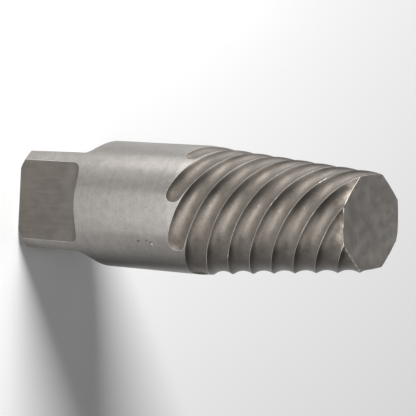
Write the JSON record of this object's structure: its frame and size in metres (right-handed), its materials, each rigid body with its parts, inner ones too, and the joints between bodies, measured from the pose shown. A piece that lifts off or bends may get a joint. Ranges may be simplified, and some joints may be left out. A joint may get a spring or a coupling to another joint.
{
  "type": "screw extractor",
  "caption": "Spiral screw extractor: round steel shank, square driving end, and a tapered end with left-hand spiral flutes and sharp ridges.",
  "frame": {"origin": "centre of the square end's flat face", "axes": "+Z along the tool, from the square end to the tip; +X and +Y square to the flats of the driving square"},
  "size_m": [0.04, 0.04, 0.127],
  "materials": {
    "tool_steel": "satin ground steel, darker and matte on the milled square, the flutes and the tip face"
  },
  "bodies": {
    "root": {"screw_extractor": "tool_steel"}
  },
  "joints": []
}
